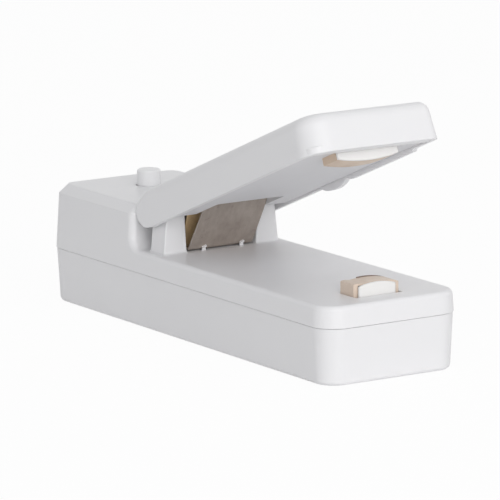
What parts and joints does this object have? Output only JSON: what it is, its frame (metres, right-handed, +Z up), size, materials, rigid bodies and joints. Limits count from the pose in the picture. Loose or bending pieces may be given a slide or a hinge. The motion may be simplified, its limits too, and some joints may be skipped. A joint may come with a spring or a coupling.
{
  "type": "handheld bag sealer",
  "caption": "Small battery bag sealer: a flat body with a heated arched block on its deck and a sprung lever whose pad presses a bag's mouth shut on it.",
  "frame": {"origin": "middle of the rest face at the body's base, at its centre in length and width", "axes": "+X along the body towards the sealing end, +Z up through the deck, +Y across the body"},
  "size_m": [0.12, 0.0366, 0.0588],
  "materials": {
    "body_plastic": "glossy white moulding",
    "heater_ceramic": "smooth white",
    "tape": "coated glass cloth, tan",
    "pad_rubber": "white silicone",
    "spring_steel": "dull tempered strip",
    "brass": "plain strip",
    "bright_steel": "plated",
    "cell_can": "plain sleeve",
    "switch_plastic": "black moulding",
    "wire_skin": "red insulation"
  },
  "bodies": {
    "body": {"upper_case": "body_plastic", "lower_case": "body_plastic", "heater_block": "heater_ceramic", "heating_ribbon": "bright_steel", "lower_tape": "tape", "leaf_spring": "spring_steel", "contact_plate": "brass", "hinge_pin": "bright_steel", "cell_left": "cell_can", "cell_right": "cell_can", "positive_contact": "bright_steel", "negative_contact": "bright_steel", "bridge_contact": "bright_steel", "front_contact_spring": "bright_steel", "rear_contact_spring": "bright_steel", "button_spring": "bright_steel", "button_switch": "switch_plastic", "wire_left": "wire_skin", "wire_right": "wire_skin", "case_screw_1": "bright_steel", "case_screw_2": "bright_steel", "case_screw_3": "bright_steel", "case_screw_4": "bright_steel"},
    "lever": {"lever_shell": "body_plastic", "lever_cover": "body_plastic", "pad_block": "pad_rubber", "upper_tape": "tape"},
    "button": {"push_button": "body_plastic"},
    "door": {"battery_door": "body_plastic"}
  },
  "joints": [
    {"name": "lever_hinge", "type": "hinge", "parent": "body", "child": "lever", "pos_m": [-0.0144, 0, 0.027], "axis": [0, 1, 0], "range_deg": [0, 22.3], "stiffness_Nm_per_rad": 0.3, "springref_deg": -11.46, "deforming": ["leaf_spring"]},
    {"name": "button_slide", "type": "slide", "parent": "body", "child": "button", "axis": [0, 0, -1], "range_m": [0, 0.0014], "stiffness_N_per_m": 400, "springref_m": -0.001, "deforming": ["button_spring"]},
    {"name": "door_hinge", "type": "hinge", "parent": "body", "child": "door", "pos_m": [0.0365, 0, 0.0002], "axis": [0, -1, 0], "range_deg": [0, 60]}
  ]
}
